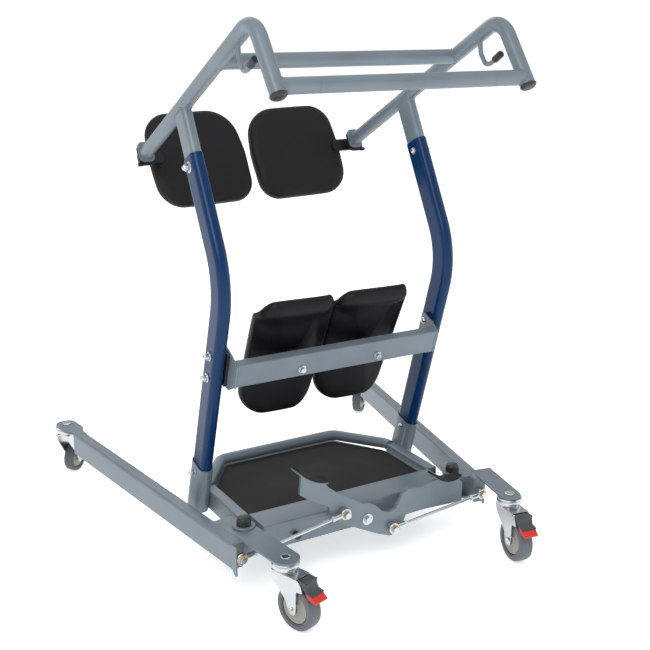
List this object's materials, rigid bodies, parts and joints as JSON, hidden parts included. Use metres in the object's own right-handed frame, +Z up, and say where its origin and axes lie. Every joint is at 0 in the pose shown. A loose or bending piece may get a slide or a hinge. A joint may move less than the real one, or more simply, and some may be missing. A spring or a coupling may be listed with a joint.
{
  "type": "standing frame",
  "caption": "Non-powered stand aid: spreading leg base with foot rocker, braked casters, knee pads, hand rails and swing-in seat paddles.",
  "frame": {"origin": "on the floor, centre of the bounding box at rest", "axes": "+Z up, +Y from the braked front casters towards the open ends of the legs, +X to the right seen from the front"},
  "size_m": [1.0132, 1.1156, 1.2147],
  "materials": {
    "grey_paint": "satin",
    "navy_paint": "gloss",
    "black_pad": "matt",
    "black_plastic": "satin",
    "black_steel": "satin",
    "mat_rubber": "matt",
    "zinc": "satin",
    "tyre_grey": "matt",
    "hub_grey": "satin",
    "brake_grey": "satin",
    "brake_red": "satin"
  },
  "bodies": {
    "frame": {"front_beam": "grey_paint", "side_rail_left": "grey_paint", "side_rail_right": "grey_paint", "rear_loop": "grey_paint", "platform_plate": "grey_paint", "platform_mat": "mat_rubber", "bumper_left": "black_plastic", "bumper_right": "black_plastic", "rocker_bolt": "zinc", "leg_pivot_left": "black_plastic", "leg_pivot_right": "black_plastic", "upright_left": "navy_paint", "upright_right": "navy_paint", "socket_bolt_left": "zinc", "socket_bolt_right": "zinc", "handle_side_left": "grey_paint", "handle_side_right": "grey_paint", "handle_bolt_left": "zinc", "handle_bolt_right": "zinc", "crossbar_front": "grey_paint", "crossbar_rear": "grey_paint", "end_cap_left": "black_plastic", "end_cap_right": "black_plastic", "hook_tip_left": "black_plastic", "hook_tip_right": "black_plastic", "knee_bar": "grey_paint", "knee_mount_left": "zinc", "knee_mount_right": "zinc", "knee_pad_left": "black_pad", "knee_pad_right": "black_pad", "pad_bolt_left": "zinc", "pad_bolt_right": "zinc"},
    "leg_left_arm": {"leg_left": "grey_paint"},
    "leg_right_arm": {"leg_right": "grey_paint"},
    "rocker_plate": {"rocker": "grey_paint", "tread_pad_left": "mat_rubber", "tread_pad_right": "mat_rubber"},
    "rod_left": {"tie_rod_left": "zinc"},
    "rod_right": {"tie_rod_right": "zinc"},
    "seat_half_left": {"paddle_bracket_left": "black_steel", "seat_pad_left": "black_pad"},
    "seat_half_right": {"paddle_bracket_right": "black_steel", "seat_pad_right": "black_pad"},
    "fork_front_left": {"caster_front_left_fork": "zinc"},
    "wheel_front_left": {"caster_front_left_hub": "hub_grey", "caster_front_left_tyre": "tyre_grey"},
    "fork_front_right": {"caster_front_right_fork": "zinc"},
    "wheel_front_right": {"caster_front_right_hub": "hub_grey", "caster_front_right_tyre": "tyre_grey"},
    "fork_rear_left": {"caster_rear_left_fork": "zinc"},
    "wheel_rear_left": {"caster_rear_left_hub": "hub_grey", "caster_rear_left_tyre": "tyre_grey"},
    "fork_rear_right": {"caster_rear_right_fork": "zinc"},
    "wheel_rear_right": {"caster_rear_right_hub": "hub_grey", "caster_rear_right_tyre": "tyre_grey"},
    "brake_front_left": {"caster_front_left_brake_pedal": "brake_grey", "caster_front_left_brake_tab": "brake_red"},
    "brake_front_right": {"caster_front_right_brake_pedal": "brake_grey", "caster_front_right_brake_tab": "brake_red"}
  },
  "joints": [
    {"name": "leg_left_swing", "type": "hinge", "parent": "frame", "child": "leg_left_arm", "pos_m": [-0.32613, -0.28792, 0], "axis": [0, 0, 1], "range_deg": [-7.2, 8]},
    {"name": "leg_right_swing", "type": "hinge", "parent": "frame", "child": "leg_right_arm", "pos_m": [0.23787, -0.28792, 0], "axis": [0, 0, 1], "range_deg": [-8.05, 7.25]},
    {"name": "rocker_tilt", "type": "hinge", "parent": "frame", "child": "rocker_plate", "pos_m": [-0.04413, -0.36892, 0.119], "axis": [0, 1, 0], "range_deg": [-11.33, 12.58]},
    {"name": "rod_left_swing", "type": "hinge", "parent": "rocker_plate", "child": "rod_left", "pos_m": [-0.10913, -0.35842, 0.153], "axis": [0, 0.9969, -0.0792], "range_deg": [-15.74, 14.17]},
    {"name": "rod_right_swing", "type": "hinge", "parent": "rocker_plate", "child": "rod_right", "pos_m": [0.02087, -0.35842, 0.085], "axis": [0, 0.9976, 0.0692], "range_deg": [-15.83, 14.25]},
    {"name": "seat_left_swing", "type": "hinge", "parent": "frame", "child": "seat_half_left", "pos_m": [-0.33213, 0.201, 0.89809], "axis": [0, -0.8821, 0.471], "range_deg": [0, 100]},
    {"name": "seat_right_swing", "type": "hinge", "parent": "frame", "child": "seat_half_right", "pos_m": [0.24387, 0.201, 0.89809], "axis": [0, 0.8821, -0.471], "range_deg": [0, 100]},
    {"name": "swivel_front_left", "type": "hinge", "parent": "leg_left_arm", "child": "fork_front_left", "pos_m": [-0.31321, -0.45562, 0.143], "axis": [0, 0, 1], "continuous": true},
    {"name": "roll_front_left", "type": "hinge", "parent": "fork_front_left", "child": "wheel_front_left", "pos_m": [-0.3021, -0.49196, 0.05], "axis": [0.9563, 0.2924, 0], "continuous": true},
    {"name": "swivel_front_right", "type": "hinge", "parent": "leg_right_arm", "child": "fork_front_right", "pos_m": [0.27989, -0.45389, 0.143], "axis": [0, 0, 1], "continuous": true},
    {"name": "roll_front_right", "type": "hinge", "parent": "fork_front_right", "child": "wheel_front_right", "pos_m": [0.27394, -0.49142, 0.05], "axis": [0.9877, -0.1564, 0], "continuous": true},
    {"name": "swivel_rear_left", "type": "hinge", "parent": "leg_left_arm", "child": "fork_rear_left", "pos_m": [-0.47675, 0.50546, 0.1407], "axis": [0, 0, 1], "continuous": true},
    {"name": "roll_rear_left", "type": "hinge", "parent": "fork_rear_left", "child": "wheel_rear_left", "pos_m": [-0.45446, 0.52553, 0.0375], "axis": [-0.6691, 0.7431, 0], "continuous": true},
    {"name": "swivel_rear_right", "type": "hinge", "parent": "leg_right_arm", "child": "fork_rear_right", "pos_m": [0.45028, 0.49119, 0.1407], "axis": [0, 0, 1], "continuous": true},
    {"name": "roll_rear_right", "type": "hinge", "parent": "fork_rear_right", "child": "wheel_rear_right", "pos_m": [0.47257, 0.51127, 0.0375], "axis": [-0.6691, 0.7431, 0], "continuous": true},
    {"name": "brake_front_left_press", "type": "hinge", "parent": "fork_front_left", "child": "brake_front_left", "pos_m": [-0.29567, -0.513, 0.1077], "axis": [0.9563, 0.2924, 0], "range_deg": [0, 10]},
    {"name": "brake_front_right_press", "type": "hinge", "parent": "fork_front_right", "child": "brake_front_right", "pos_m": [0.2705, -0.51315, 0.1077], "axis": [0.9877, -0.1564, 0], "range_deg": [0, 10]}
  ],
  "couplings": [
    {"joint": "leg_right_swing", "follows": "leg_left_swing", "ratio": -1},
    {"joint": "rocker_tilt", "follows": "leg_left_swing", "ratio": 1.5664},
    {"joint": "rod_left_swing", "follows": "leg_left_swing", "ratio": -1.9615},
    {"joint": "rod_right_swing", "follows": "leg_left_swing", "ratio": -1.9719}
  ]
}
